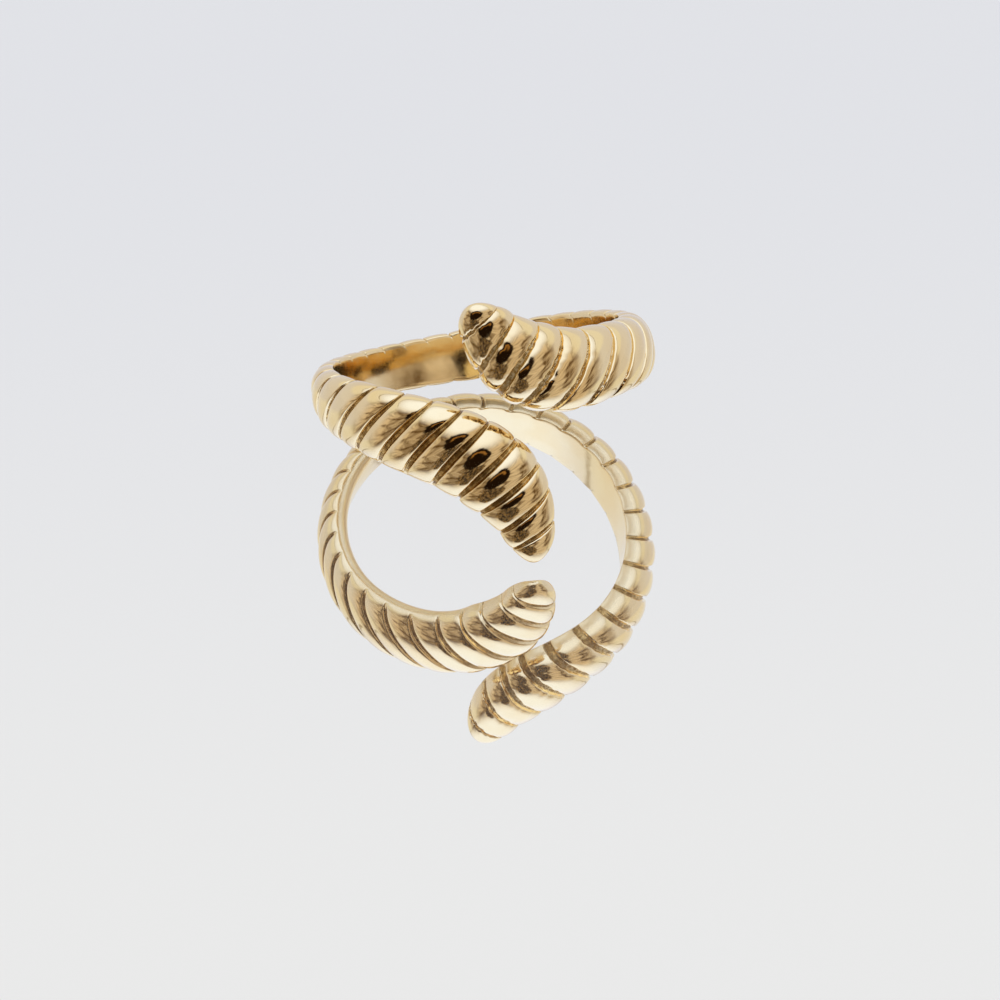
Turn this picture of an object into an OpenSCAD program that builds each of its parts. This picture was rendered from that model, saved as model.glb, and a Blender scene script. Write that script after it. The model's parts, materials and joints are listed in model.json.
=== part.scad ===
// Open bypass ring in the form of a ribbed snake body that ends in two plain rounded tips.
// One cast piece. It lies on its side, on the tip of its left arm and on the back of its band.

/* [Finger hole] */
// Inner diameter of the ring
finger_d = 17; // [15:0.5:20]

/* [Band] */
// Width of the band at the middle of its back, along the finger
band_w = 3.2; // [2.9:0.1:3.5]
// Height of the band off the finger at the middle of its back
band_t = 1.7; // [1.5:0.05:1.9]
// Roundness of the outer side, where 2 is an ellipse and more is boxier
outer_power = 2.2; // [2:0.1:2.8]
// Height of the upright side walls, under the rounded outer side
side_h = 0.5; // [0.4:0.05:0.7]
// Inset of the bevels along both inner edges
bevel = 0.12; // [0.06:0.02:0.2]
// Further inset of the lower edge where the grooves stop short of it
rim = 0.45; // [0.1:0.05:0.5]

/* [Arms] */
// Length of the left arm along its middle line, in degrees of the finger circle
left_reach = 228; // [227:0.5:232]
// Length of the right arm along its middle line, in degrees of the finger circle
right_reach = 196.5; // [196:0.5:202]
// Length of the round nose at each tip
nose_len = 1.7; // [1.4:0.1:2]
// Height of each tip's point, as a share of the thickness there
nose_rise = 0.45; // [0.3:0.05:0.6]

/* [Grooves] */
// Distance from groove to groove at the middle of the back
rib_len = 1.6; // [1.4:0.01:1.8]
// Place of the groove nearest the middle of the back
first_groove = -1; // [-1.2:0.05:-0.8]
// Least distance from the last groove of each arm to its tip
plain_tip = 1; // [0.9:0.05:1.25]
// Width of a groove between its shoulders at the middle of the back
groove_w = 0.46; // [0.36:0.02:0.54]
// Width of a groove's flat floor there
groove_floor = 0.1; // [0.06:0.02:0.2]
// Depth of a groove below the ribs' crowns there
groove_depth = 0.32; // [0.2:0.02:0.4]
// Height that each rib loses from its crown to its shoulders
rib_round = 0.12; // [0.04:0.02:0.14]
// Share of their width and depth that the grooves lose on their way to the side walls
side_loss = 0.45; // [0.2:0.05:0.6]
// Further share of their width that the grooves lose towards the band's upper edge
upper_loss = 0.5; // [0:0.05:0.6]

/* [Rest] */
// Lean towards the back as the ring rests
lean_back = 21.5; // [19:0.02:24]
// Lean to the left as the ring rests
lean_left = 7.64; // [1:0.02:10]

/* [Hidden] */
$fn = 128;

finger_r = finger_d / 2;
mm_per_degree = PI * finger_r / 180;
left_len = left_reach * mm_per_degree;
right_len = right_reach * mm_per_degree;

// Stations along the band, from the left tip over the back to the right tip
// SHARE: place as a share of the arm, from -1 at the left tip to 1 at the right tip
// HEADING: direction of the middle line on the unrolled finger, 0 straight round it
// WIDE, TALL: width and thickness as multiples of those at the back
// LIFT: height of the underside off the finger
// SLANT: sideways lean of the grooves, positive where the upper end lies further on
// RIB: distance from groove to groove as a multiple of that at the back
// REACH: how much of the lower side wall the grooves cross
SHARE = 0;
HEADING = 1;
WIDE = 2;
TALL = 3;
LIFT = 4;
SLANT = 5;
RIB = 6;
REACH = 7;
STATIONS = [
    [-1.00, 97, 0.60, 0.71, 0.25, 6, 0.85, 1],
    [-0.94, 83, 0.95, 0.88, 0.19, 23, 0.91, 1],
    [-0.85, 60, 1.46, 1.20, 0.04, 5, 1.09, 1],
    [-0.78, 39, 1.56, 1.23, 0.00, -7, 1.11, 0.4],
    [-0.70, 23, 1.53, 1.16, 0.00, -22, 1.04, 0],
    [-0.60, 15, 1.41, 1.07, 0.00, -30, 1.11, 0],
    [-0.50, 6, 1.23, 1.03, 0.00, -31, 1.05, 0],
    [-0.25, -5, 0.95, 0.98, 0.00, -23, 0.98, 0.2],
    [0.00, 0, 1.00, 1.00, 0.00, -28, 1.02, 1],
    [0.25, 3.5, 1.24, 1.08, 0.00, -29, 1.06, 1],
    [0.50, 6, 1.32, 1.21, 0.00, -25, 1.12, 1],
    [0.60, 6, 1.37, 1.28, 0.00, -25, 1.16, 1],
    [0.70, 5.5, 1.48, 1.34, 0.00, -25, 1.11, 1],
    [0.78, 21, 1.58, 1.38, 0.00, -13, 1.08, 1],
    [0.85, 45, 1.51, 1.36, 0.08, 8, 1.03, 1],
    [0.94, 66, 0.98, 1.14, 0.40, 22, 0.92, 1],
    [1.00, 81, 0.67, 0.88, 1.19, 6, 0.90, 1]
];
LAST = len(STATIONS) - 1;

// Rate of change of a column at a row, from the rows on either side of it
function rate(row, col) =
    let(before = max(row - 1, 0), after = min(row + 1, LAST))
    (STATIONS[after][col] - STATIONS[before][col]) / (STATIONS[after][SHARE] - STATIONS[before][SHARE]);

// Smooth value of a column between its rows
function smooth(share, col) =
    let(
        x = min(max(share, -1), 1),
        row = max([for (k = [0:LAST - 1]) if (STATIONS[k][SHARE] <= x) k]),
        span = STATIONS[row + 1][SHARE] - STATIONS[row][SHARE],
        t = (x - STATIONS[row][SHARE]) / span,
        t2 = t * t,
        t3 = t2 * t
    )
    (2 * t3 - 3 * t2 + 1) * STATIONS[row][col]
    + (t3 - 2 * t2 + t) * span * rate(row, col)
    + (3 * t2 - 2 * t3) * STATIONS[row + 1][col]
    + (t3 - t2) * span * rate(row + 1, col);

function share_of(s) = s < 0 ? s / left_len : s / right_len;
function at(s, col) = smooth(share_of(s), col);

// Middle line on the unrolled finger, as rows of distance, way round and way along the finger
trace_step = 0.15;
function trace(length, steps) = [
    for (
        k = 0, u = 0, v = 0;
        k <= steps;
        u = u + length / steps * cos(at(length * (k + 0.5) / steps, HEADING)),
        v = v + length / steps * sin(at(length * (k + 0.5) / steps, HEADING)),
        k = k + 1
    )
    [length * k / steps, u, v]
];
LEFT_TRACE = trace(-left_len, ceil(left_len / trace_step));
RIGHT_TRACE = trace(right_len, ceil(right_len / trace_step));
TRACE = concat([for (k = [len(LEFT_TRACE) - 1:-1:1]) LEFT_TRACE[k]], RIGHT_TRACE);
WAY_ROUND = [for (p = TRACE) [p[0], p[1]]];
WAY_ALONG = [for (p = TRACE) [p[0], p[2]]];

// Rounding of the nose, 1 along the arm and 0 at its tip
function closing(s) =
    let(to_tip = s < 0 ? s + left_len : right_len - s)
    to_tip >= nose_len ? 1 : sqrt(max(1 - pow(1 - to_tip / nose_len, 2), 0));

// Centres of the grooves along the middle line, each a rib's length past the one before
function next_groove(s, way) =
    let(half_way = s + way * rib_len * at(s, RIB) / 2)
    s + way * rib_len * at(half_way, RIB);
LEFT_GROOVES = [for (s = first_groove; s >= plain_tip - left_len; s = next_groove(s, -1)) s];
RIGHT_GROOVES = [for (s = first_groove; s <= right_len - plain_tip; s = next_groove(s, 1)) s];
GROOVES = concat([for (k = [len(LEFT_GROOVES) - 1:-1:1]) LEFT_GROOVES[k]], RIGHT_GROOVES);

// Rows of the surface. PLACE is a distance along the middle line and OFF is added to it,
// less on the side walls. CUT is 1 on a groove's floor, and DROP is 1 on a rib's shoulders.
PLACE = 0;
OFF = 1;
CUT = 2;
DROP = 3;
function shoulder(s) = groove_w / 2 * at(s, WIDE);
function floor_edge(s) = groove_floor / 2 * at(s, WIDE);
function groove_rows(s) = [
    [s, -shoulder(s), 0, 1],
    [s, -floor_edge(s), 1, 1],
    [s, floor_edge(s), 1, 1],
    [s, shoulder(s), 0, 1]
];
function rib_rows(from, to) = [
    for (q = [0.2, 0.5, 0.8]) [from + (to - from) * q, 0, 0, pow(2 * q - 1, 2)]
];
tip_rows = 8;
function tip_row(tip, groove, q) =
    let(near = groove + sign(tip) * shoulder(groove))
    [tip + (near - tip) * pow(q / tip_rows, 2), 0, 0, pow(q / tip_rows, 4)];
ROWS = concat(
    [for (q = [1:tip_rows - 1]) tip_row(-left_len, GROOVES[0], q)],
    [
        for (k = [0:len(GROOVES) - 1])
        each concat(
            groove_rows(GROOVES[k]),
            k < len(GROOVES) - 1
                ? rib_rows(GROOVES[k] + shoulder(GROOVES[k]), GROOVES[k + 1] - shoulder(GROOVES[k + 1]))
                : []
        )
    ],
    [for (q = [tip_rows - 1:-1:1]) tip_row(right_len, GROOVES[len(GROOVES) - 1], q)]
);

// Outline of the band, square to its middle line: ten steps over the outer side, from the
// upper edge over the crown to the lower edge, then six points round the inner side
outer_steps = 10;
outline_points = outer_steps + 7;
sink = 0.35;
function swing(j) = 180 * j / outer_steps;
function signed_power(x, p) = sign(x) * pow(abs(x), p);
function clamped(x) = min(max(x, 0), 1);

// Share of a groove's depth at a point of the outline, least at both edges
function kept(j) = 1 - side_loss * (j <= outer_steps ? pow(cos(swing(j)), 2) : 1);

// Share of a groove's width there, least at the upper edge
function raised(j) = j <= outer_steps ? (1 + cos(swing(j))) / 2 : j < outer_steps + 4 ? 0 : 1;
function spread(j) = kept(j) * (1 - upper_loss * raised(j));

// Share of a groove's depth at a point of the outline, as it fades out down the lower side
function cut_share(j, reach) =
    let(
        q = j - outer_steps - 1,
        down = q < 0 ? (swing(j) - 126) / 72 : q == 0 ? 1 : 1.15,
        fade = clamped((0.6 + 0.65 * reach - down) / 0.25)
    )
    q == 2 || q == 3 ? 0
    : kept(j) * (q == 1 || q == 4 ? 0.5 : 1) * (q > 3 ? 1 : fade);

// One point of the outline at a distance s along the middle line, cut down by a depth:
// its place across the band and its height off the finger
function outline_point(s, j, depth) =
    let(
        c = closing(s),
        half_w = band_w / 2 * at(s, WIDE) * c,
        tall = band_t * at(s, TALL),
        lift = max(at(s, LIFT), 0),
        foot = lift + tall * nose_rise * (1 - c),
        side = side_h * c,
        dome = (tall - side_h) * c,
        cut = depth * cut_share(j, at(s, REACH)) * c,
        q = j - outer_steps - 1,
        edge = q < 3 ? -1 : 1,
        sunk = clamped(1 - 25 * lift) * clamped(1 - 6 * (1 - c)),
        low = q < 2 ? rim * (1 - clamped(at(s, REACH))) : 0
    )
    q < 0
    ? let(
        across = signed_power(cos(swing(j)), 2 / outer_power),
        up = pow(sin(swing(j)), 2 / outer_power),
        face_b = signed_power(cos(swing(j)), 2 - 2 / outer_power) / half_w,
        face_n = pow(sin(swing(j)), 2 - 2 / outer_power) / dome,
        size = norm([face_b, face_n])
    )
    [half_w * across - cut * face_b / size, foot + side + dome * up - cut * face_n / size]
    : q == 0 || q == 5
    ? [edge * (half_w - cut - 0.3 * low), foot + side * 0.42]
    : [
        edge * (half_w - cut - (bevel + low) * (1 + 1.4 * sunk) * c) * (q == 1 || q == 4 ? 1 : 0.4),
        foot - sink * sunk
    ];

// Distance along the middle line of a row's point, moved along the groove's slanted line,
// which straightens as the nose closes
function slanted(row, j) =
    let(
        s = row[PLACE] + row[OFF] * spread(j),
        lean = tan(at(row[PLACE], SLANT)) * closing(row[PLACE]),
        near = outline_point(s, j, 0)[0],
        far = outline_point(s + lean * near, j, 0)[0]
    )
    s + lean * (near + far) / 2;

// A point of the unrolled band, wrapped round the finger
function wrapped(s, point) =
    let(
        head = at(s, HEADING),
        turn = (lookup(s, WAY_ROUND) - sin(head) * point[0]) / mm_per_degree,
        r = finger_r + point[1]
    )
    [r * sin(turn), r * cos(turn), lookup(s, WAY_ALONG) + cos(head) * point[0]];

function row_depth(row) =
    let(tall = at(row[PLACE], TALL))
    (row[CUT] * (groove_depth - rib_round) + row[DROP] * rib_round) * tall;

function tip_point(s) =
    wrapped(s, [0, max(at(s, LIFT), 0) + band_t * at(s, TALL) * nose_rise]);

SKIN = concat(
    [tip_point(-left_len)],
    [
        for (row = ROWS)
        for (j = [0:outline_points - 1])
        let(s = slanted(row, j))
        wrapped(s, outline_point(s, j, row_depth(row)))
    ],
    [tip_point(right_len)]
);
SKIN_LAST = len(SKIN) - 1;
ROW_LAST = len(ROWS) - 1;
function skin_index(i, j) = 1 + i * outline_points + j % outline_points;
FACES = concat(
    [for (j = [0:outline_points - 1]) [0, skin_index(0, j + 1), skin_index(0, j)]],
    [
        for (i = [0:ROW_LAST - 1])
        for (j = [0:outline_points - 1])
        each [
            [skin_index(i, j), skin_index(i, j + 1), skin_index(i + 1, j + 1)],
            [skin_index(i, j), skin_index(i + 1, j + 1), skin_index(i + 1, j)]
        ]
    ],
    [for (j = [0:outline_points - 1]) [SKIN_LAST, skin_index(ROW_LAST, j), skin_index(ROW_LAST, j + 1)]]
);

// The ring's lean as it rests, and the surface's middle under it as the origin
function leaned(p) =
    let(
        x = p[0] * cos(lean_left) - p[2] * sin(lean_left),
        z = p[2] * cos(lean_left) + p[0] * sin(lean_left)
    )
    [x, p[1] * cos(lean_back) + z * sin(lean_back), z * cos(lean_back) - p[1] * sin(lean_back)];
RESTING = [for (p = SKIN) leaned(p)];
function lowest(axis) = min([for (p = RESTING) p[axis]]);
function highest(axis) = max([for (p = RESTING) p[axis]]);
function middle(axis) = (lowest(axis) + highest(axis)) / 2;

module ring() {
    color([0.86, 0.71, 0.42])
        translate([-middle(0), -middle(1), -lowest(2)])
            rotate([-lean_back, 0, 0])
                rotate([0, -lean_left, 0])
                    difference() {
                        polyhedron(points = SKIN, faces = FACES, convexity = 10);
                        cylinder(r = finger_r, h = 40, center = true);
                    }
}

ring();
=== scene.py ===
"""Dressed model of an open snake ring: one cast band of slanted ribs in polished gold, on a pale mirror."""

import json
import logging
import math
from dataclasses import astuple, dataclass, field
from enum import Enum

import bmesh
import bpy
import numpy as np
from mathutils import Matrix, Vector, noise

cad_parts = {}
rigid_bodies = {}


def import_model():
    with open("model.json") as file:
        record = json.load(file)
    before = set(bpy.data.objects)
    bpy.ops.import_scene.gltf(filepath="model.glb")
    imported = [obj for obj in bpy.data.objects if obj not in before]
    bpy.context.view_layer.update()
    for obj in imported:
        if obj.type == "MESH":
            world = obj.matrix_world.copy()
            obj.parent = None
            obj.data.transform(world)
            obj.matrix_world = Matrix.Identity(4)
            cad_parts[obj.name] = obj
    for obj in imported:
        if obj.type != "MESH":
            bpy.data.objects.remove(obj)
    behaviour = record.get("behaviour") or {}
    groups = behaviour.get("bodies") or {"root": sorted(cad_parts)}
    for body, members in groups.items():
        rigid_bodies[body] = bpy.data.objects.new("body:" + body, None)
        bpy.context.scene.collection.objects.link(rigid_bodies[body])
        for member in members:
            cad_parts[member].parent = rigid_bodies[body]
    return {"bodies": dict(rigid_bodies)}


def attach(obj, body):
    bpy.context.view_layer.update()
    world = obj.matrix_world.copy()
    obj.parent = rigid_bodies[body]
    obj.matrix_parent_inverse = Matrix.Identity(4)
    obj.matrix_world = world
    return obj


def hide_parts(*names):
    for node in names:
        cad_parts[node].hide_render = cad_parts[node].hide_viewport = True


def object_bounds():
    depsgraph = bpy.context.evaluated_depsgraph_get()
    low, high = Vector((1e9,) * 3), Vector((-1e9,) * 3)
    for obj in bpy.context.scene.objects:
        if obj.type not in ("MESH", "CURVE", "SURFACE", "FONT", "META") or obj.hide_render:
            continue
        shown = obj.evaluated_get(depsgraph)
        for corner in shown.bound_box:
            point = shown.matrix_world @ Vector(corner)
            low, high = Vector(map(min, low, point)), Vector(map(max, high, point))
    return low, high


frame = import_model()
CAD_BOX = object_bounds()
BODY = sorted(frame["bodies"])[0]

MM = 0.001
TINY = 1e-7
SLIVER = 1e-8
# The groove mask places the grooves' painted shade and rough floors, pitted the pits and satin the worn
# polish.
MASKS = ("groove", "pitted", "satin")
LOG = logging.getLogger("snake_ring")

Colour = tuple[float, float, float]
Span = tuple[float, float]
# Distance before the slant, depth below the crowns in mm, groove mask and pitted mask, by column.
SurfaceRow = tuple[np.ndarray, np.ndarray, np.ndarray, np.ndarray]
Socket = bpy.types.NodeSocket
Axes = tuple[Socket, Socket, Socket]
Node = bpy.types.Node


def _clamped(value: float) -> float:
    """Holds a value between 0 and 1."""
    return min(max(value, 0.0), 1.0)


@dataclass(frozen=True)
class Station:
    """One section of the band, as the part's source has it.

    Attributes:
        share: place as a share of the arm, -1 at the left tip and 1 at the right tip.
        heading: direction of the middle line on the unrolled finger, in degrees.
        wide: width as a multiple of that at the middle of the back.
        tall: thickness as a multiple of that at the middle of the back.
        lift: height of the underside off the finger, in mm.
        slant: sideways lean of the grooves, in degrees.
        rib: distance from groove to groove as a multiple of that at the back.
        reach: how much of the lower side wall the grooves cross.
    """

    share: float
    heading: float
    wide: float
    tall: float
    lift: float
    slant: float
    rib: float
    reach: float


STATIONS = (
    Station(-1.00, 97, 0.60, 0.71, 0.25, 6, 0.85, 1),
    Station(-0.94, 83, 0.95, 0.88, 0.19, 23, 0.91, 1),
    Station(-0.85, 60, 1.46, 1.20, 0.04, 5, 1.09, 1),
    Station(-0.78, 39, 1.56, 1.23, 0.00, -7, 1.11, 0.4),
    Station(-0.70, 23, 1.53, 1.16, 0.00, -22, 1.04, 0),
    Station(-0.60, 15, 1.41, 1.07, 0.00, -30, 1.11, 0),
    Station(-0.50, 6, 1.23, 1.03, 0.00, -31, 1.05, 0),
    Station(-0.25, -5, 0.95, 0.98, 0.00, -23, 0.98, 0.2),
    Station(0.00, 0, 1.00, 1.00, 0.00, -28, 1.02, 1),
    Station(0.25, 3.5, 1.24, 1.08, 0.00, -29, 1.06, 1),
    Station(0.50, 6, 1.32, 1.21, 0.00, -25, 1.12, 1),
    Station(0.60, 6, 1.37, 1.28, 0.00, -25, 1.16, 1),
    Station(0.70, 5.5, 1.48, 1.34, 0.00, -25, 1.11, 1),
    Station(0.78, 21, 1.58, 1.38, 0.00, -13, 1.08, 1),
    Station(0.85, 45, 1.51, 1.36, 0.08, 8, 1.03, 1),
    Station(0.94, 66, 0.98, 1.14, 0.40, 22, 0.92, 1),
    Station(1.00, 81, 0.67, 0.88, 1.19, 6, 0.90, 1),
)


class Column(Enum):
    """Columns of the station table that vary smoothly along the band."""

    HEADING = 1
    WIDE = 2
    TALL = 3
    LIFT = 4
    SLANT = 5
    RIB = 6
    REACH = 7


class Zone(Enum):
    """Stretches of the band's outline, in order from its upper edge."""

    OUTER = 0
    LOWER_SIDE = 1
    INNER = 2
    UPPER_SIDE = 3


@dataclass
class BandPath:
    """Middle line of the band, drawn on the unrolled finger and wrapped round it.

    All lengths are in mm, and distances run from the middle of the back, positive to the right.

    Attributes:
        left_reach: length of the left arm, in degrees of the finger circle.
        right_reach: length of the right arm, in the same degrees.
        trace_step: longest step of the traced middle line.
    """

    finger_r: float = 8.5
    left_reach: float = 228.0
    right_reach: float = 196.5
    nose_len: float = 1.7
    trace_step: float = 0.15

    def __post_init__(self) -> None:
        """Works out the arms' lengths, the table's slopes and the traced line."""
        self.per_degree = math.pi * self.finger_r / 180
        self.left_len = self.left_reach * self.per_degree
        self.right_len = self.right_reach * self.per_degree
        self.table = np.array([astuple(row) for row in STATIONS])
        last = len(self.table) - 1
        before = np.maximum(np.arange(last + 1) - 1, 0)
        after = np.minimum(np.arange(last + 1) + 1, last)
        run = self.table[after, :1] - self.table[before, :1]
        self.rates = (self.table[after] - self.table[before]) / run
        left = self._trace(-self.left_len)
        right = self._trace(self.right_len)
        self.traced = np.concatenate([left[:0:-1], right])

    def _trace(self, length: float) -> np.ndarray:
        """Follows the heading from the middle of the back.

        Args:
            length: length of the arm, negative for the left one.

        Returns:
            Rows of distance, way round and way along the finger.
        """
        steps = math.ceil(abs(length) / self.trace_step)
        step = length / steps
        k = np.arange(steps + 1)
        heading = np.radians(self.at(step * (k[:-1] + 0.5), Column.HEADING))
        way_round = np.concatenate([[0], np.cumsum(step * np.cos(heading))])
        way_along = np.concatenate([[0], np.cumsum(step * np.sin(heading))])
        return np.stack([step * k, way_round, way_along], axis=1)

    def at(self, s: np.ndarray | float, column: Column) -> np.ndarray:
        """Smooth value of a table column.

        Args:
            s: distance along the middle line.
            column: the column to read.

        Returns:
            The value at each distance.
        """
        s = np.asarray(s, float)
        share = np.clip(np.where(s < 0, s / self.left_len, s / self.right_len), -1, 1)
        shares = self.table[:, 0]
        row = np.clip(np.searchsorted(shares, share, side="right") - 1, 0, len(shares) - 2)
        span = shares[row + 1] - shares[row]
        t = (share - shares[row]) / span
        t2, t3 = t * t, t * t * t
        values, rates = self.table[:, column.value], self.rates[:, column.value]
        return (
            (2 * t3 - 3 * t2 + 1) * values[row]
            + (t3 - 2 * t2 + t) * span * rates[row]
            + (3 * t2 - 2 * t3) * values[row + 1]
            + (t3 - t2) * span * rates[row + 1]
        )

    def closing(self, s: np.ndarray) -> np.ndarray:
        """Rounding of the nose.

        Args:
            s: distance along the middle line.

        Returns:
            1 along the arm and 0 at its tip.
        """
        to_tip = np.where(s < 0, s + self.left_len, self.right_len - s)
        gone = 1 - np.clip(to_tip / self.nose_len, 0, 1)
        return np.sqrt(1 - gone * gone)

    def wrapped(self, s: np.ndarray, across: np.ndarray, height: np.ndarray) -> np.ndarray:
        """Wraps points of the unrolled band round the finger.

        Args:
            s: distance along the middle line.
            across: place across the band.
            height: height off the finger.

        Returns:
            Points with the finger's axis along Z, the last axis holding x, y and z.
        """
        heading = np.radians(self.at(s, Column.HEADING))
        way_round = np.interp(s, self.traced[:, 0], self.traced[:, 1])
        way_along = np.interp(s, self.traced[:, 0], self.traced[:, 2])
        turn = np.radians((way_round - np.sin(heading) * across) / self.per_degree)
        radius = self.finger_r + height
        along = way_along + np.cos(heading) * across
        return np.stack([radius * np.sin(turn), radius * np.cos(turn), along], axis=-1)


@dataclass
class Outline:
    """Columns of the surface, round the band from its upper edge over the crown."""

    outer_steps: int = 56
    side_steps: int = 8
    inner_steps: int = 12

    def __post_init__(self) -> None:
        """Lists each column's share of the way through its zone, and a mask of each zone."""
        counts = (
            (Zone.OUTER, self.outer_steps),
            (Zone.LOWER_SIDE, self.side_steps),
            (Zone.INNER, self.inner_steps),
            (Zone.UPPER_SIDE, self.side_steps),
        )
        zones = np.concatenate([[zone.value] * count for zone, count in counts])
        self.shares = np.concatenate([np.arange(count) / count for _, count in counts])
        self.count = len(zones)
        self.outer, self.lower, self.inner, self.upper = (zones == zone.value for zone in Zone)


class Line(Enum):
    """Lines of a groove that waver: each one's stretch of the noise and its step from column to column."""

    MIDDLE = (0.5, 0.11)
    LEFT = (11.5, 0.45)
    RIGHT = (23.5, 0.45)
    FLOOR_LEFT = (37.5, 0.6)
    FLOOR_RIGHT = (41.5, 0.6)
    FLOOR = (53.5, 0.8)


@dataclass(frozen=True)
class Unevenness:
    """How far the cast grooves stray from even ones, in mm.

    Attributes:
        groove_step: step of the noise from groove to groove.
        across_step: its step across a floor.
        wander: sideways stray of a groove's middle, and crinkle of its shoulders.
        pitted_crinkle: the same of a pitted groove's shoulders.
        floor_share: share of that stray at the floor's edges.
        bump: height of a floor's bumps as a share of its depth.
        pitted_bump: what pits add to it.
    """

    groove_step: float = 7.3
    across_step: float = 9.0
    wander: float = 0.012
    crinkle: float = 0.02
    pitted_crinkle: float = 0.09
    floor_share: float = 0.6
    bump: float = 0.07
    pitted_bump: float = 0.1


@dataclass(frozen=True)
class Groove:
    """One groove: distances of its shoulders and its floor's edges along the middle line, by column.

    Attributes:
        tall: thickness of the band as a multiple of that at the back.
        pitted: 0 for a clean groove painted dark as shade and 1 for a wide pitted one.
        wall_shade: 0 for bright walls and 1 for walls painted as dark as the floor, as shade.
    """

    left: np.ndarray
    right: np.ndarray
    floor_left: np.ndarray
    floor_right: np.ndarray
    tall: float
    pitted: float
    wall_shade: float


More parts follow.
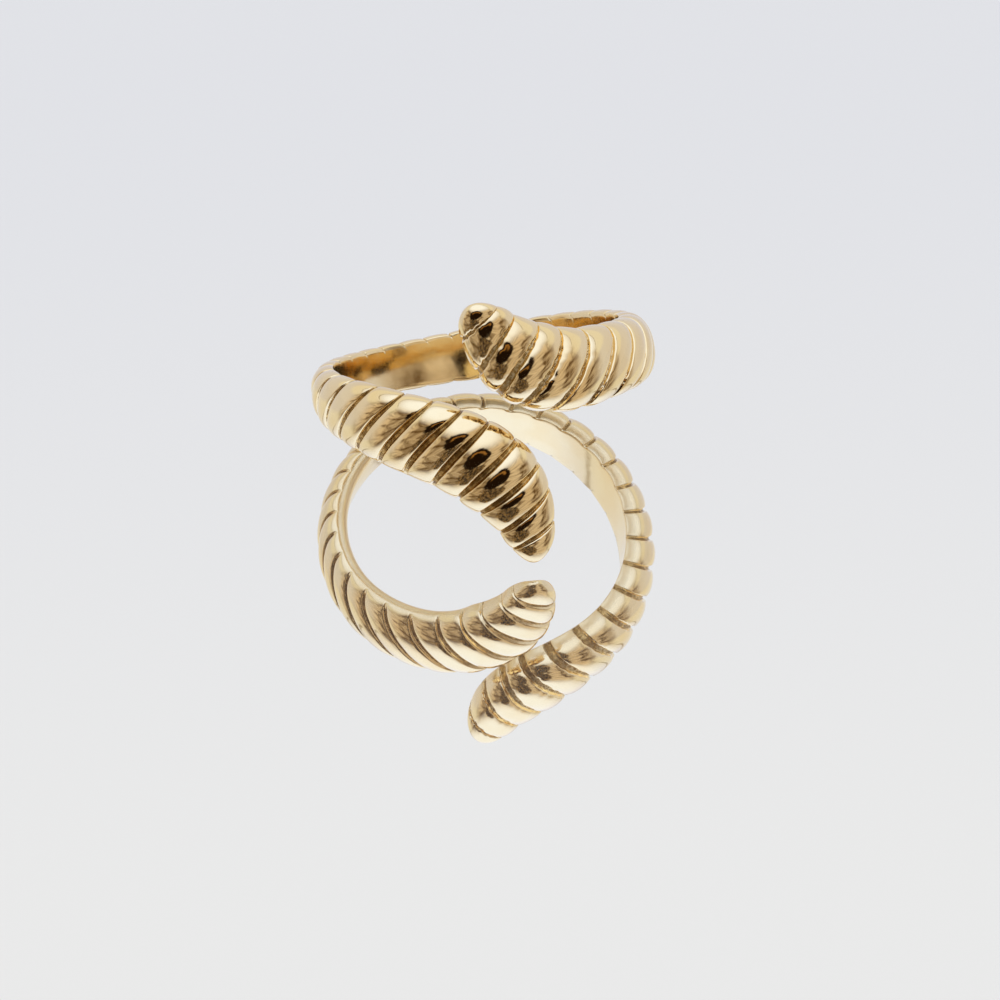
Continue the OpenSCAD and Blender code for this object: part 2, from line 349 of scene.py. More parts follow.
@dataclass
class RibbedBody:
    """The snake's cast body, from tip to tip, as one closed skin of ribs and grooves.

    All lengths are in mm, and sizes that change along the band are those at the middle of its back.

    Attributes:
        band_w: width along the finger.
        band_t: height off the finger.
        outer_power: roundness of the outer side: 2 is an ellipse and more is boxier.
        bevel: inset of the bevels along both inner edges.
        bevel_top: height where they start, as a share of the side walls.
        bevel_gain: how much further they run in down to the sunk underside.
        rim: further inset of the lower edge where the grooves stop short of it.
        rim_top: share of the rim's inset at the bevel's top.
        nose_rise: height of each tip's point, as a share of the thickness there.
        sink: depth below the finger hole's wall from which the bevels are drawn.
        lift_reach: how fast the sinking ends as the band lifts off the finger, per mm.
        nose_reach: how fast it ends as the nose closes.
        rib_len: distance from groove to groove.
        first_groove: place of the groove nearest the middle of the back.
        plain_tip: least distance from the last groove of each arm to its tip.
        groove_depth: depth of a groove's floor below the crowns.
        wall_round: how much steeper its wall is at the shoulder than at the floor.
        rib_round: height that each rib loses from its crown to its shoulders.
        rib_flat: share of that height that is lost near the shoulders alone.
        side_loss: share of width and depth that grooves lose on their way to the side walls.
        upper_loss: further share of width that they lose towards the upper edge.
        front_share: share of upper_loss on the front of the left arm.
        front_from: where that front starts, as a share of the arm.
        foot_loss: share of depth that grooves lose down a side wall.
        fade_from: degrees round the outer side from which grooves can run out.
        fade_over: degrees that make one unit of the way down.
        fade_side: units of the way down in a side wall.
        fade_stop: units where grooves end if they don't cross the lower side.
        fade_reach: units further down that they end where they cross it.
        fade_soft: units over which they run out.
        pitted_from: where grooves start to be pitted, as a share of the right arm.
        pitted_over: share of the arm over which they get so.
        pitted_floor: width that the pits add to a groove at its lower end.
        opened_power: how closely that width gathers at the lower edge.
        pits_power: how closely the pits' end gathers there.
        pitted_slim: share of width that a pitted groove loses elsewhere, and pitted_floor_slim its floor.
        wall_shade_at: place of the grooves whose walls get the most painted shade, as a share of the left
            arm.
        wall_shade_peak: painted shade there, which counts up to 1.
        wall_shade_fall: how fast it falls to either side.
        slim_ribs: ribs before the right tip from which grooves get slimmer, down to slimmest.
        comfort: height by which the inner wall is eased towards its upper edge.
        comfort_from: share of the inner wall that stays true.
        inner_satin: wear of the inner wall's polish.
        worn_from: share of the outer side past which its polish is worn.
        lean_back: lean towards the back as the ring rests, and lean_left to the left, in degrees.
        tip_gather: how closely a tip's rows gather at its point.
        crown_margin: share of a half turn that a crown's rows keep from its shoulders.
    """

    path: BandPath = field(default_factory=BandPath)
    outline: Outline = field(default_factory=Outline)
    uneven: Unevenness = field(default_factory=Unevenness)
    band_w: float = 3.2
    band_t: float = 1.7
    outer_power: float = 2.2
    side_h: float = 0.5
    bevel: float = 0.12
    bevel_top: float = 0.42
    bevel_gain: float = 1.4
    rim: float = 0.45
    rim_top: float = 0.3
    nose_rise: float = 0.45
    sink: float = 0.35
    lift_reach: float = 25.0
    nose_reach: float = 6.0
    rib_len: float = 1.6
    first_groove: float = -1.0
    plain_tip: float = 1.0
    groove_w: float = 0.38
    groove_floor: float = 0.15
    groove_depth: float = 0.32
    wall_round: float = 0.5
    rib_round: float = 0.12
    rib_flat: float = 0.4
    side_loss: float = 0.45
    upper_loss: float = 0.38
    front_share: float = 0.5
    front_from: float = 0.45
    foot_loss: float = 0.5
    fade_from: float = 126.0
    fade_over: float = 72.0
    fade_side: float = 0.4
    fade_stop: float = 0.6
    fade_reach: float = 0.65
    fade_soft: float = 0.25
    pitted_from: float = 0.45
    pitted_over: float = 0.3
    pitted_floor: float = 0.3
    opened_power: int = 4
    pits_power: int = 3
    pitted_slim: float = 0.2
    pitted_floor_slim: float = 0.35
    wall_shade_at: float = 0.5
    wall_shade_peak: float = 1.6
    wall_shade_fall: float = 5.0
    slim_ribs: float = 2.0
    slimmest: float = 0.4
    comfort: float = 0.16
    comfort_from: float = 0.2
    inner_satin: float = 0.2
    worn_from: float = 0.93
    lean_back: float = 21.5
    lean_left: float = 7.64
    tip_rows: int = 22
    tip_gather: float = 1.7
    floor_rows: int = 5
    wall_rows: int = 4
    crown_rows: int = 14
    crown_margin: float = 0.06

    def build(self) -> bpy.types.Object:
        """Makes the body's mesh, resting as the part does, with masks of its grooves, pits and wear.

        Returns:
            The finished object, in metres.
        """
        s, depth, mask, pits = self._surface_rows()
        s = self._slanted(s)
        mask = mask * self._fade(s)
        pits = pits * (1 - self._lowered() ** self.pits_power)
        points = self._rested(self.path.wrapped(*self._section(s, depth)))
        rows, columns = points.shape[:2]
        bare = np.where(self.outline.inner, 0.0, 1.0)
        masks = np.stack([mask * bare, pits * bare, np.broadcast_to(self._worn(), mask.shape)], axis=-1)
        shape = bmesh.new()
        layers = [shape.verts.layers.float.new(name) for name in MASKS]
        bmesh.ops.create_grid(shape, x_segments=rows - 1, y_segments=columns, size=1)
        for vert in shape.verts:
            row = round((vert.co.x + 1) / 2 * (rows - 1))
            column = round((vert.co.y + 1) / 2 * columns) % columns
            vert.co = points[row, column]
            for layer, value in zip(layers, masks[row, column]):
                vert[layer] = value
        bmesh.ops.remove_doubles(shape, verts=shape.verts, dist=TINY)
        bmesh.ops.dissolve_degenerate(shape, edges=shape.edges, dist=SLIVER)
        bmesh.ops.recalc_face_normals(shape, faces=shape.faces)
        for face in shape.faces:
            face.smooth = True
        mesh = bpy.data.meshes.new("snake_body")
        shape.to_mesh(mesh)
        shape.free()
        body = bpy.data.objects.new("snake_body", mesh)
        bpy.context.scene.collection.objects.link(body)
        return body

    def grooves(self) -> np.ndarray:
        """Spaces the grooves out from the middle of the back.

        Returns:
            Their centres along the middle line, from the left tip to the right one.
        """
        found = []
        for way, end in ((-1, self.path.left_len), (1, self.path.right_len)):
            s = self.first_groove
            while way * s <= end - self.plain_tip:
                found.append(s)
                half_way = s + way * self.rib_len * float(self.path.at(s, Column.RIB)) / 2
                s += way * self.rib_len * float(self.path.at(half_way, Column.RIB))
        return np.unique(found)

    def _worn(self) -> np.ndarray:
        """Wears the polish to satin: most on the lower side, some inside.

        Returns:
            The share of each column's polish that is worn.
        """
        edge = np.clip((self.outline.shares - self.worn_from) / (1 - self.worn_from), 0, 1)
        worn = np.where(self.outline.outer, edge, self.inner_satin * self.outline.inner)
        return np.where(self.outline.lower, 1, worn)

    def _kept(self) -> np.ndarray:
        """Share of a groove's width and depth that each column keeps."""
        round_off = np.cos(np.pi * self.outline.shares) ** 2
        return 1 - self.side_loss * np.where(self.outline.outer, round_off, 1)

    def _lowered(self) -> np.ndarray:
        """Places each column between the edges.

        Returns:
            0 at the upper edge and 1 at the lower edge.
        """
        share = self.outline.shares
        lowered = np.where(self.outline.outer, (1 - np.cos(np.pi * share)) / 2, 1 - share)
        lowered = np.where(self.outline.lower, 1, lowered)
        return np.where(self.outline.upper, 0, lowered)

    def _spread(self, upper_loss: float) -> np.ndarray:
        """Share of a groove's width that each column keeps, least at the upper edge."""
        return self._kept() * (1 - upper_loss * (1 - self._lowered()))

    def _ripple(self, number: int, line: Line, aside: float = 0.0) -> np.ndarray:
        """Smooth unevenness of one line of a groove, column by column.

        Args:
            number: number of the groove.
            line: the line of the groove.
            aside: how far the noise is moved on within the line's own stretch.

        Returns:
            Values from about -1 to 1.
        """
        (stretch, step), along = line.value, self.uneven.groove_step * number
        columns = range(self.outline.count)
        return np.array([noise.noise(Vector((column * step, along, stretch + aside))) for column in columns])

    def _surface_rows(self) -> SurfaceRow:
        """Lays out the rows across every tip, groove and rib.

        Returns:
            The four parts of a surface row, each by row and column.
        """
        grooves = [self._groove(number, centre) for number, centre in enumerate(self.grooves())]
        rows = self._tip(-self.path.left_len, grooves[0].left, self.rib_round * grooves[0].tall)
        for number, groove in enumerate(grooves):
            rows += self._groove_rows(number, groove)
            if number + 1 < len(grooves):
                rows += self._rib_rows(groove, grooves[number + 1])
        rows += self._tip(self.path.right_len, grooves[-1].right, self.rib_round * grooves[-1].tall)[::-1]
        return tuple(np.stack(part) for part in zip(*rows))

    def _groove(self, number: int, centre: float) -> Groove:
        """Lays out one groove.

        Args:
            number: place of the groove in its row.
            centre: distance of its centre along the middle line.

        Returns:
            The groove's edges at each column.
        """
        path, uneven = self.path, self.uneven
        front = centre <= -self.front_from * path.left_len
        spread = self._spread(self.upper_loss * (self.front_share if front else 1))
        breadth = math.sqrt(float(path.at(centre, Column.WIDE)))
        right = _clamped((centre / path.right_len - self.pitted_from) / self.pitted_over)
        # Share of painted shade that runs up the walls of the grooves round the left arm's bend.
        bend = _clamped(self.wall_shade_peak - self.wall_shade_fall * abs(centre / path.left_len + self.wall_shade_at))
        slim = max(_clamped((path.right_len - centre) / (self.slim_ribs * self.rib_len)), self.slimmest)
        crinkle = uneven.crinkle + (uneven.pitted_crinkle - uneven.crinkle) * right
        rough, inner_rough = crinkle * spread, uneven.floor_share * crinkle * spread
        middle = centre + uneven.wander * self._ripple(number, Line.MIDDLE)
        opened = right * self.pitted_floor / 2 * self._lowered() ** self.opened_power
        shared = breadth * spread
        half = (self.groove_w / 2 * shared * (1 - self.pitted_slim * right) + opened) * slim
        half_floor = (self.groove_floor / 2 * shared * (1 - self.pitted_floor_slim * right) + opened) * slim
        inner_left = inner_rough * self._ripple(number, Line.FLOOR_LEFT)
        inner_right = inner_rough * self._ripple(number, Line.FLOOR_RIGHT)
        return Groove(
            left=middle - half + rough * self._ripple(number, Line.LEFT),
            right=middle + half + rough * self._ripple(number, Line.RIGHT),
            floor_left=middle - half_floor + inner_left,
            floor_right=middle + half_floor + inner_right,
            tall=float(path.at(centre, Column.TALL)),
            pitted=right,
            wall_shade=bend,
        )

    def _groove_rows(self, number: int, groove: Groove) -> list[SurfaceRow]:
        """Rows down a groove's left wall, over its floor and up its right wall.

        Args:
            number: number of the groove.
            groove: the groove.

        Returns:
            The rows, from its left shoulder to its right one.
        """
        low, deep = self.rib_round * groove.tall, self.groove_depth * groove.tall
        ones = np.ones(self.outline.count)
        down, up = [], []
        for w in np.arange(self.wall_rows + 1) / (self.wall_rows + 1):
            depth, pits = self._wall(w, low, deep) * ones, w * groove.pitted * ones
            # The groove mask, which paints shade, comes in down each wall, and sooner on walls with painted
            # shade.
            mask = min(w * (1 + groove.wall_shade), 1) * ones
            down.append((groove.left + (groove.floor_left - groove.left) * w, depth, mask, pits))
            up.append((groove.right + (groove.floor_right - groove.right) * w, depth, mask, pits))
        height = self.uneven.bump + self.uneven.pitted_bump * groove.pitted
        floor = []
        for u in np.linspace(0, 1, self.floor_rows):
            bumps = height * self._ripple(number, Line.FLOOR, self.uneven.across_step * float(u))
            place = groove.floor_left + (groove.floor_right - groove.floor_left) * u
            floor.append((place, deep * (1 + bumps), ones, groove.pitted * ones))
        return down + floor + up[::-1]

    def _rib_rows(self, before: Groove, after: Groove) -> list[SurfaceRow]:
        """Rows over a rib's crown.

        Args:
            before: the groove on its left.
            after: the groove on its right.

        Returns:
            The rows, from left to right.
        """
        flat = np.zeros(self.outline.count)
        margin = self.crown_margin
        rows = []
        for k in range(1, self.crown_rows + 1):
            q = 0.5 - 0.5 * math.cos(math.pi * (margin + (1 - 2 * margin) * k / (self.crown_rows + 1)))
            drop = self.rib_round * (before.tall + (after.tall - before.tall) * q) * self._crown(q)
            rows.append((before.right + (after.left - before.right) * q, drop + flat, flat, flat))
        return rows

    def _tip(self, tip: float, edge: np.ndarray, shoulder: float) -> list[SurfaceRow]:
        """Rows over a plain tip, from its point to the edge of the last groove.

        Args:
            tip: distance of the tip along the middle line.
            edge: distance of the groove's edge at each column.
            shoulder: depth of the rib's shoulder at that edge.

        Returns:
            The rows, from the point to the groove.
        """
        rows = []
        for k in range(self.tip_rows):
            q = (k / self.tip_rows) ** self.tip_gather
            drop = shoulder * self._crown(0.5 + 0.5 * q)
            rows.append((tip + (edge - tip) * q, drop + 0 * edge, 0 * edge, 0 * edge))
        return rows

    def _crown(self, q: float) -> float:
        """Drop of a rib across its length, 0 on its crown and 1 on its shoulders."""
        off = abs(2 * q - 1)
        return (1 - self.rib_flat) * off**2 + self.rib_flat * off**4

    def _wall(self, w: float, low: float, deep: float) -> float:
        """Depth on the way down a groove's wall, from low at its shoulder to deep at its floor."""
        return low + (deep - low) * w * (1 + self.wall_round - self.wall_round * w)

    def _slanted(self, s: np.ndarray) -> np.ndarray:
        """Moves each point along the groove's slanted line, which straightens as the nose closes.

        Args:
            s: distance along the middle line before the slant.

        Returns:
            The distance with the slant.
        """
        lean = np.tan(np.radians(self.path.at(s, Column.SLANT))) * self.path.closing(s)
        flat = np.zeros_like(s)
        near = self._section(s, flat)[1]
        far = self._section(s + lean * near, flat)[1]
        return s + lean * (near + far) / 2

    def _fade(self, s: np.ndarray) -> np.ndarray:
        """Share of a groove's depth that is left as it runs out down the lower side.

        Args:
            s: distance along the middle line, by row and column.

        Returns:
            The share at each point.
        """
        share = self.outline.shares
        outer = (180 * share - self.fade_from) / self.fade_over
        side = (180 - self.fade_from) / self.fade_over + self.fade_side * share
        down = np.where(self.outline.outer, outer, side)
        stop = self.fade_stop + self.fade_reach * self.path.at(s, Column.REACH)
        fade = np.clip((stop - down) / self.fade_soft, 0, 1)
        return np.where(self.outline.upper, 1, fade)

    def _section(self, s: np.ndarray, depth: np.ndarray) -> tuple[np.ndarray, np.ndarray, np.ndarray]:
        """Outline of the band at each distance, cut down by a depth.

        Args:
            s: distance along the middle line, by row and column.
            depth: depth below the crowns, likewise.

        Returns:
            The distance, the place across the band and the height off the finger.
        """
        path, share = self.path, self.outline.shares
        close = path.closing(s)
        reach = path.at(s, Column.REACH)
        half_w = np.maximum(self.band_w / 2 * path.at(s, Column.WIDE) * close, TINY)
        tall = self.band_t * path.at(s, Column.TALL)
        lift = np.maximum(path.at(s, Column.LIFT), 0)
        foot = lift + tall * self.nose_rise * (1 - close)
        side = self.side_h * close
        dome = np.maximum((tall - self.side_h) * close, TINY)

        swing = np.pi * share
        power = 2 / self.outer_power
        way = np.sign(np.cos(swing)) * np.abs(np.cos(swing)) ** power
        up = np.abs(np.sin(swing)) ** power
        face_b = np.sign(np.cos(swing)) * np.abs(np.cos(swing)) ** (2 - power) / half_w
        face_n = np.abs(np.sin(swing)) ** (2 - power) / dome
        size = np.hypot(face_b, face_n)

        outer, lower = self.outline.outer, self.outline.lower
        inner, upper = self.outline.inner, self.outline.upper
        to_edge = np.where(upper, 1 - share, share)
        foot_share = np.where(lower | upper, 1 - self.foot_loss * to_edge**2, 1)
        cut = np.where(inner, 0, depth * self._kept() * foot_share * self._fade(s) * close)

        sunk = np.clip(1 - self.lift_reach * lift, 0, 1) * np.clip(1 - self.nose_reach * (1 - close), 0, 1)
        low = self.rim * (1 - np.clip(reach, 0, 1))
        in_n = np.maximum(foot - self.sink * sunk, 0)
        top = self.bevel_top * side
        part = (foot + top - in_n) / np.maximum(top + self.sink * sunk, TINY)
        gain = (1 + self.bevel_gain * sunk) * close
        low_top = self.rim_top * low
        low_inset = low_top + part * ((self.bevel + low) * gain - low_top)
        up_inset = part * self.bevel * gain
        inset = np.where(lower, low_inset, up_inset)

        quarter = np.pi / 2 * to_edge
        side_b = half_w - cut - inset * (1 - np.cos(quarter))
        inner_b = low_inset - half_w + (2 * half_w - low_inset - up_inset) * share
        outer_b = half_w * way - cut * face_b / size
        across = np.select([outer, lower, upper], [outer_b, -side_b, side_b], inner_b)
        past = np.clip((share - self.comfort_from) / (1 - self.comfort_from), 0, 1)
        eased = np.where(inner, past**2, np.where(upper, 1, 0))
        in_n = in_n + self.comfort * eased * close
        side_n = in_n + (foot + side - in_n) * (1 - np.sin(quarter))
        outer_n = foot + side + dome * up - cut * face_n / size
        height = np.where(outer, outer_n, np.where(inner, in_n, side_n))
        return s, across, height

    def _rested(self, points: np.ndarray) -> np.ndarray:
        """Leans the ring as it rests and sets it in the part's box.

        Args:
            points: points in mm with the finger's axis along Z.

        Returns:
            The points in metres, in the part's frame.
        """
        back = Matrix.Rotation(math.radians(-self.lean_back), 3, "X")
        left = Matrix.Rotation(math.radians(-self.lean_left), 3, "Y")
        rested = points @ np.array(back @ left).T * MM
        low, high = rested.reshape(-1, 3).min(0), rested.reshape(-1, 3).max(0)
        box_low, box_high = np.array(CAD_BOX[0]), np.array(CAD_BOX[1])
        shift = (box_low + box_high - low - high) / 2
        shift[2] = box_low[2] - low[2]
        return rested + shift


@dataclass(frozen=True)
class Grain:
    """A noise pattern, and the span of its values that makes a soft mask of it."""

    scale: float
    detail: float = 2.0
    rough: float = 0.5
    twist: float = 0.0
    span: Span = (0.0, 1.0)


class Wiring:
    """Adds nodes to a node tree and joins them by name."""

    def __init__(self, tree: bpy.types.NodeTree) -> None:
        """Takes a node tree and empties it."""
        self.tree = tree
        tree.nodes.clear()

    def add(self, kind: str, inputs: dict[str | int, object] | None = None, **settings: object) -> Node:
        """Adds a node.

        Args:
            kind: the node's type name after ShaderNode.
            inputs: values or sockets for its inputs, by name or number.
            settings: attributes of the node.

        Returns:
            The new node.
        """
        node = self.tree.nodes.new(f"ShaderNode{kind}")
        for name, value in settings.items():
            setattr(node, name, value)
        for name, value in (inputs or {}).items():
            socket = node.inputs[name]
            if isinstance(value, Socket):
                self.tree.links.new(value, socket)
            else:
                socket.default_value = (*value, 1) if socket.type == "RGBA" else value
        return node

    def math(self, operation: str, first: object, second: object = 0.0) -> Socket:
        """Adds a Math node and returns its result."""
        return self.add("Math", {0: first, 1: second}, operation=operation).outputs[0]

    def off(self, value: Socket, middle: float) -> Socket:
        """Adds the distance of a value from a middle and returns it."""
        return self.math("ABSOLUTE", self.math("SUBTRACT", value, middle))

    def ramp(self, value: Socket, span: Span, ends: Span = (0.0, 1.0)) -> Socket:
        """Maps the values of a span to its ends, softly, and returns the result."""
        inputs = dict(zip(("Value", "From Min", "From Max", "To Min", "To Max"), (value, *span, *ends)))
        return self.add("MapRange", inputs, interpolation_type="SMOOTHSTEP").outputs["Result"]

    def mix(self, share: object, first: Colour | Socket, second: Colour | Socket) -> Socket:
        """Mixes two colours and returns the result."""
        return self.add("Mix", {0: share, 6: first, 7: second}, data_type="RGBA").outputs[2]

    def noise(self, vector: Socket, grain: Grain) -> Socket:
        """Adds a noise pattern over a vector and returns its value."""
        inputs = {"Scale": grain.scale, "Detail": grain.detail, "Roughness": grain.rough}
        return self.add("TexNoise", {"Vector": vector, "Distortion": grain.twist, **inputs}).outputs[0]

    def mask(self, vector: Socket, grain: Grain, ends: Span = (0.0, 1.0)) -> Socket:
        """Adds a noise pattern's mask over a vector and returns it."""
        return self.ramp(self.noise(vector, grain), grain.span, ends)

    def ragged(self, value: Socket, noise_value: Socket, share: float) -> Socket:
        """Strays a value up and down by a share of a noise and returns it."""
        return self.math("ADD", value, self.math("MULTIPLY", self.math("SUBTRACT", noise_value, 0.5), share))

    def bump(self, distance: float, height: Socket, **over: Socket) -> Socket:
        """Adds a bump, over the Normal of another where given, and returns its normal."""
        return self.add("Bump", {"Distance": distance, "Height": height, **over}).outputs[0]


@dataclass(frozen=True)
class PolishedGold:
    """Polished gold plate: mirror-bright ribs, rough groove floors painted dark brown as shade, faint waves
    and hairlines.

    Heights are in metres, and patterns are measured per metre.

    Attributes:
        satin: roughness that worn polish adds.
        pit_height: height of the pits as a multiple of the grain.
        crumble: pattern that makes a floor's edges ragged.
        floor_span: groove mask where the floor's painted shade, roughness and grit start and are full.
        rubs: pattern of the paler places in a clean groove's painted shade.
        pocks: pattern of the pits in a pitted one.
    """

    gold: Colour = (0.95, 0.76, 0.42)
    warm: Colour = (0.93, 0.71, 0.36)
    # The next two colours paint the floors of clean grooves dark brown as shade, one darker and one paler.
    groove: Colour = (0.30, 0.165, 0.04)
    groove_shade_pale: Colour = (0.76, 0.50, 0.17)
    pitted: Colour = (1.0, 0.82, 0.44)
    pits: Colour = (0.50, 0.30, 0.085)
    polish: float = 0.05
    smudged: float = 0.12
    satin: float = 0.26
    groove_rough: float = 0.3
    pitted_rough: float = 0.58
    wave_height: float = 0.000012
    grain_height: float = 0.000016
    pit_height: float = 3.0
    crumble: Grain = Grain(5200, 3, 0.65)
    crumble_share: float = 0.7
    floor_span: Span = (0.5, 1.0)
    cloud: Grain = Grain(420, span=(0.35, 0.7))
    smear: Grain = Grain(2600, 4, 0.65, span=(0.35, 0.75))
    rubs: Grain = Grain(2400, 3, 0.6, span=(0.46, 0.66))
    pocks: Grain = Grain(6000, 3, 0.6, span=(0.40, 0.56))
    waves: Grain = Grain(900, 1.5)
    grit: Grain = Grain(14000, 3, 0.7)

    def make(self) -> bpy.types.Material:
        """Builds the material.

        Returns:
            The material for the ring's slot.
        """
        material = bpy.data.materials.new("polished_gold")
        material.use_nodes = True
        wires = Wiring(material.node_tree)
        place = wires.add("TexCoord").outputs["Object"]
        groove, pitted, satin = (wires.add("Attribute", attribute_name=name).outputs["Fac"] for name in MASKS)
        # The ragged groove mask paints the floors of clean grooves dark as shade, and pitted floors pale with
        # dark pits.
        ragged = wires.ragged(groove, wires.noise(place, self.crumble), self.crumble_share)
        floor = wires.ramp(ragged, self.floor_span)
        body = wires.mix(wires.mask(place, self.cloud), self.gold, self.warm)
        channel = wires.mix(wires.mask(place, self.rubs), self.groove, self.groove_shade_pale)
        pit = wires.mask(place, self.pocks)
        floor_shade_and_pits = wires.mix(pitted, channel, wires.mix(pit, self.pits, self.pitted))
        colour = wires.mix(floor, body, floor_shade_and_pits)
        polish = wires.mask(place, self.smear, (self.polish, self.smudged))
        polish = wires.math("ADD", polish, wires.math("MULTIPLY", satin, self.satin))
        dull_rough = wires.ramp(pitted, (0.0, 1.0), (self.groove_rough, self.pitted_rough))
        rough = wires.add("Mix", {0: floor, 2: polish, 3: dull_rough}).outputs[0]
        wave = wires.bump(self.wave_height, wires.noise(place, self.waves))
        coarse = wires.math("MULTIPLY", wires.math("MULTIPLY", pitted, pit), self.pit_height)
        grit = wires.math("MULTIPLY", floor, wires.math("ADD", wires.noise(place, self.grit), coarse))
        grain = wires.bump(self.grain_height, grit, Normal=wave)
        finish = {"Metallic": 1.0, "Base Color": colour, "Roughness": rough, "Normal": grain}
        wires.add("OutputMaterial", {"Surface": wires.add("BsdfPrincipled", finish).outputs[0]})
        return material


@dataclass(frozen=True)
class PaleMirror:
    """Pale backed mirror: an image of the ring under a thin white haze, which thins at a glance."""

    haze: Colour = (0.70, 0.705, 0.71)
    image: Colour = (0.97, 0.972, 0.975)
    facing_share: float = 0.95
    glancing_share: float = 0.99
    glance_span: Span = (0.40, 0.72)
    blur: float = 0.016

    def make(self) -> bpy.types.Material:
        """Builds the material.

        Returns:
            The material for the floor.
        """
        material = bpy.data.materials.new("pale_mirror")
        material.use_nodes = True
        wires = Wiring(material.node_tree)
        facing = wires.add("LayerWeight").outputs["Facing"]
        share = wires.ramp(facing, self.glance_span, (self.facing_share, self.glancing_share))
        haze = wires.add("BsdfDiffuse", {"Color": self.haze}).outputs[0]
        image = wires.add("BsdfGlossy", {"Color": self.image, "Roughness": self.blur}).outputs[0]
        both = wires.add("MixShader", {0: share, 1: haze, 2: image}).outputs[0]
        wires.add("OutputMaterial", {"Surface": both})
        return material


@dataclass(frozen=True)
class ClearPane:
    """Clear upper face of the mirror's glass, which the light passes straight through."""

    clear: Colour = (1.0, 1.0, 1.0)

    def make(self) -> bpy.types.Material:
        """Builds the material.

        Returns:
            The material for the pane.
        """
        material = bpy.data.materials.new("clear_pane")
        material.use_nodes = True
        wires = Wiring(material.node_tree)
        through = wires.add("BsdfTransparent", {"Color": self.clear}).outputs[0]
        wires.add("OutputMaterial", {"Surface": through})
        return material


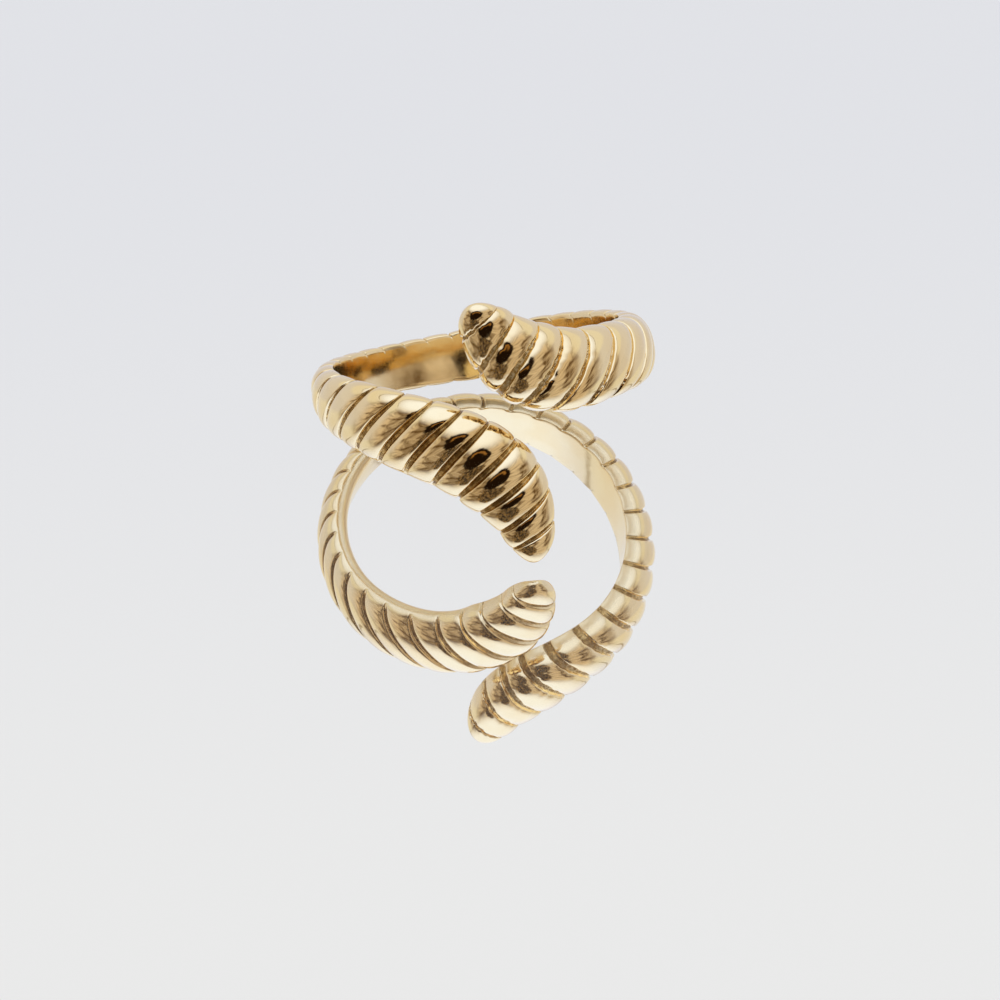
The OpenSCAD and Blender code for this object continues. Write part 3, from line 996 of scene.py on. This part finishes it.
@dataclass(frozen=True)
class LightTent:
    """White studio tent round the ring: bright overhead, pale at the back and dim round its front opening.

    Directions are unit vectors with x to the right, y to the back and z up. A span holds the two values
    between which a form comes in softly, and places and sizes of the opening are to the right and up.

    Attributes:
        overhead_soft: span of the overhead light, above its edge.
        overhead_tilt: how much higher it starts towards the back.
        cool: cooler band round the back walls.
        fold_middle: place that the folds run out from.
        fold_draw: scale of the fine folds on two axes round that place, then from front to back.
        seam_back: span of the seam below the overhead light, from front to back.
        opening_ahead: span of the opening from the sides to the front.
        glint: arc of light inside it.
        arc_rise: span of the arc, above the opening's middle.
        below: pattern of the opening's image in the mirror, dark with pale streaks.
        ground_far: the floor at the far end of the view, drawn where no gold is between.
        panes_passed: count of panes past which light comes through the clear pane.
        rays_direct: count of rays up to which the floor is seen directly.
    """

    overhead: Colour = (1.05, 1.20, 1.66)
    overhead_edge: float = 0.78
    overhead_soft: Span = (-0.2, 0.16)
    overhead_tilt: float = 0.12
    backdrop: Colour = (0.83, 0.835, 0.845)
    cool: Colour = (0.72, 0.73, 0.86)
    cool_height: float = 0.57
    cool_span: Span = (0.10, 0.24)
    front: Colour = (0.70, 0.60, 0.51)
    front_span: Span = (-0.45, 0.15)
    fold_dark: Colour = (0.13, 0.078, 0.036)
    fold_middle: Span = (-0.05, 0.3)
    fold_draw: tuple[float, float, float] = (1.0, 1.0, 0.22)
    fold_front: Span = (0.25, -0.45)
    fold_height: Span = (0.85, 0.55)
    patches: Grain = Grain(2.3, twist=0.5, span=(0.40, 0.62))
    patch_share: float = 0.7
    streaks: Grain = Grain(7.5, 3, 0.6, span=(0.42, 0.66))
    streak_share: float = 0.6
    seam: Colour = (0.46, 0.42, 0.38)
    seam_below: float = 0.1
    seam_span: Span = (0.018, 0.006)
    seam_back: Span = (-0.05, 0.2)
    opening: Colour = (0.012, 0.006, 0.003)
    opening_place: Span = (-0.06, 0.33)
    opening_size: Span = (0.46, 0.34)
    opening_edge: Span = (1.08, 0.92)
    opening_ahead: Span = (0.0, -0.2)
    frill: Grain = Grain(2.6)
    frill_share: float = 0.45
    glint: Colour = (0.30, 0.15, 0.045)
    arc_at: float = 0.6
    arc_span: Span = (0.11, 0.04)
    arc_rise: Span = (0.02, 0.12)
    below_dark: Colour = (0.035, 0.022, 0.012)
    below_pale: Colour = (0.33, 0.22, 0.12)
    below: Grain = Grain(11.0, 2, 0.6, 1.2, (0.48, 0.64))
    ground_far: Colour = (0.785, 0.793, 0.828)
    ground_near: Colour = (0.857, 0.857, 0.852)
    ground_span: Span = (0.50, 0.63)
    panes_passed: float = 0.5
    rays_direct: float = 2.5

    def build(self) -> None:
        """Makes the world that lights the scene."""
        world = bpy.data.worlds.new("light_tent")
        world.use_nodes = True
        bpy.context.scene.world = world
        wires = Wiring(world.node_tree)
        towards = wires.add("TexCoord").outputs["Generated"]
        axes = tuple(wires.add("SeparateXYZ", {0: towards}).outputs)
        path = wires.add("LightPath").outputs
        behind_pane = wires.math("GREATER_THAN", path["Transparent Depth"], self.panes_passed)
        light = self._walls(wires, axes)
        opening, inside = self._opening(wires, axes)
        streaks = wires.mix(wires.mask(towards, self.below), self.below_dark, self.below_pale)
        light = wires.mix(opening, light, wires.mix(behind_pane, inside, streaks))
        direct = wires.math("LESS_THAN", path["Ray Depth"], self.rays_direct)
        seen = wires.math("MAXIMUM", wires.math("MULTIPLY", behind_pane, direct), path["Is Camera Ray"])
        ground = wires.mix(wires.ramp(axes[2], self.ground_span), self.ground_far, self.ground_near)
        light = wires.mix(seen, light, ground)
        glow = wires.add("Background", {"Color": light}).outputs[0]
        wires.add("OutputWorld", {"Surface": glow})

    def _walls(self, wires: Wiring, axes: Axes) -> Socket:
        """Light of the walls, their folds, the overhead light and the seam below it.

        Args:
            wires: the world's wiring.
            axes: direction to the right, to the back and upwards.

        Returns:
            The colour in each direction.
        """
        _, y, z = axes
        band = wires.ramp(wires.off(z, self.cool_height), self.cool_span)
        back = wires.mix(band, self.backdrop, self.cool)
        walls = wires.mix(wires.ramp(y, self.front_span), self.front, back)
        walls = wires.mix(self._folds(wires, axes), walls, self.fold_dark)
        height = wires.math("SUBTRACT", z, wires.math("MULTIPLY", y, self.overhead_tilt))
        above = wires.ramp(height, tuple(self.overhead_edge + part for part in self.overhead_soft))
        light = wires.mix(above, walls, self.overhead)
        seam = wires.ramp(wires.off(height, self.overhead_edge - self.seam_below), self.seam_span)
        return wires.mix(wires.math("MULTIPLY", seam, wires.ramp(y, self.seam_back)), light, self.seam)

    def _opening(self, wires: Wiring, axes: Axes) -> tuple[Socket, Socket]:
        """Dark opening in the front, with an uneven edge and a broken arc of light inside.

        Args:
            wires: the world's wiring.
            axes: direction to the right, to the back and upwards.

        Returns:
            Its mask and its colour.
        """
        x, y, z = axes
        middle_x, middle_z = self.opening_place
        aside = wires.math("DIVIDE", wires.math("SUBTRACT", x, middle_x), self.opening_size[0])
        rise = wires.math("DIVIDE", wires.math("SUBTRACT", z, middle_z), self.opening_size[1])
        place = wires.add("CombineXYZ", {0: aside, 1: rise}).outputs[0]
        even = wires.add("VectorMath", {0: place}, operation="LENGTH").outputs["Value"]
        far = wires.ragged(even, wires.noise(place, self.frill), self.frill_share)
        arc = wires.ramp(wires.off(far, self.arc_at), self.arc_span)
        broken = wires.ramp(z, tuple(middle_z + part for part in self.arc_rise))
        inside = wires.mix(wires.math("MULTIPLY", arc, broken), self.opening, self.glint)
        ahead = wires.ramp(y, self.opening_ahead)
        return wires.math("MULTIPLY", wires.ramp(far, self.opening_edge), ahead), inside

    def _folds(self, wires: Wiring, axes: Axes) -> Socket:
        """Dark folds of gathered cloth that run out from the opening over the front walls.

        Args:
            wires: the world's wiring.
            axes: direction to the right, to the back and upwards.

        Returns:
            Share of the dark folds in each direction.
        """
        x, y, z = axes
        aside, rise = (wires.math("SUBTRACT", axis, at) for axis, at in zip((x, z), self.fold_middle))
        turn = wires.math("ARCTAN2", aside, rise)
        parts = {0: wires.math("COSINE", turn), 1: wires.math("SINE", turn), 2: y}
        around = wires.add("CombineXYZ", parts).outputs[0]
        gathers = wires.add("VectorMath", {0: around, 1: self.fold_draw}, operation="MULTIPLY").outputs[0]
        patch = wires.math("MULTIPLY", wires.mask(around, self.patches), self.patch_share)
        streak = wires.math("MULTIPLY", wires.mask(gathers, self.streaks), self.streak_share)
        fold = wires.math("MINIMUM", wires.math("ADD", patch, streak), 1.0)
        reach = wires.math("MULTIPLY", wires.ramp(y, self.fold_front), wires.ramp(z, self.fold_height))
        return wires.math("MULTIPLY", fold, reach)


@dataclass(frozen=True)
class Studio:
    """Floor and camera of the photograph's view: angles in degrees, the lens in mm, the rest in metres."""

    half_floor: float = 3.0
    mirror_depth: float = 0.00067
    pane_gap: float = 0.00002
    elevation: float = 34.63
    distance: float = 0.3321
    roll: float = 1.08
    focal_length: float = 200.9
    sensor_width: float = 36.0
    clip: Span = (0.01, 20.0)
    look_at: tuple[float, float, float] = (0.00087, -0.00402, 0.0)

    def build_floor(self) -> list[bpy.types.Object]:
        """Makes the pale mirror under the ring: its silvered back and the clear pane over it.

        Returns:
            The two sheets.
        """
        silver = self._sheet("mirror_floor", -self.mirror_depth, PaleMirror().make())
        pane = self._sheet("mirror_pane", -self.pane_gap, ClearPane().make())
        return [silver, pane]

    def _sheet(self, name: str, height: float, material: bpy.types.Material) -> bpy.types.Object:
        """Makes one level sheet of the floor.

        Args:
            name: name of the sheet.
            height: height of the sheet.
            material: its material.

        Returns:
            The sheet.
        """
        shape = bmesh.new()
        bmesh.ops.create_grid(shape, x_segments=1, y_segments=1, size=self.half_floor)
        bmesh.ops.translate(shape, verts=shape.verts, vec=(0, 0, height))
        mesh = bpy.data.meshes.new(name)
        shape.to_mesh(mesh)
        shape.free()
        sheet = bpy.data.objects.new(name, mesh)
        bpy.context.scene.collection.objects.link(sheet)
        mesh.materials.append(material)
        return sheet

    def place_camera(self) -> bpy.types.Object:
        """Sets the camera at the photograph's angle.

        Returns:
            The scene's camera.
        """
        pitch, roll = math.radians(self.elevation), math.radians(self.roll)
        ahead = Vector((0, math.cos(pitch), -math.sin(pitch)))
        right, up = Vector((1, 0, 0)), Vector((0, math.sin(pitch), math.cos(pitch)))
        image_right = right * math.cos(roll) - up * math.sin(roll)
        image_up = right * math.sin(roll) + up * math.cos(roll)
        data = bpy.data.cameras.new("camera")
        data.sensor_width = self.sensor_width
        data.lens = self.focal_length
        data.clip_start, data.clip_end = self.clip
        camera = bpy.data.objects.new("camera", data)
        bpy.context.scene.collection.objects.link(camera)
        turned = Matrix((image_right, image_up, -ahead)).transposed()
        place = Vector(self.look_at) - ahead * self.distance
        camera.matrix_world = Matrix.Translation(place) @ turned.to_4x4()
        bpy.context.scene.camera = camera
        return camera


@dataclass
class SnakeRing:
    """The whole ring, dressed: its ribbed body stands for the part's one solid."""

    body: RibbedBody = field(default_factory=RibbedBody)
    finish: PolishedGold = field(default_factory=PolishedGold)

    def build(self) -> bpy.types.Object:
        """Builds and dresses the body and ties it to the part.

        Returns:
            The finished piece.
        """
        piece = self.body.build()
        piece.data.materials.append(self.finish.make())
        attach(piece, BODY)
        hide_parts("ring")
        return piece


def main() -> None:
    """Builds the ring, then the studio round it."""
    logging.basicConfig(level=logging.INFO, format="%(message)s")
    ring = SnakeRing().build()
    LOG.info("%s: %d faces", ring.name, len(ring.data.polygons))
    studio = Studio()
    for sheet in studio.build_floor():
        LOG.info("%s", sheet.name)
    LOG.info("%s", studio.place_camera().name)
    LightTent().build()
    bpy.context.scene.view_settings.view_transform = "Standard"
    LOG.info("light tent")


if __name__ == "__main__":
    main()
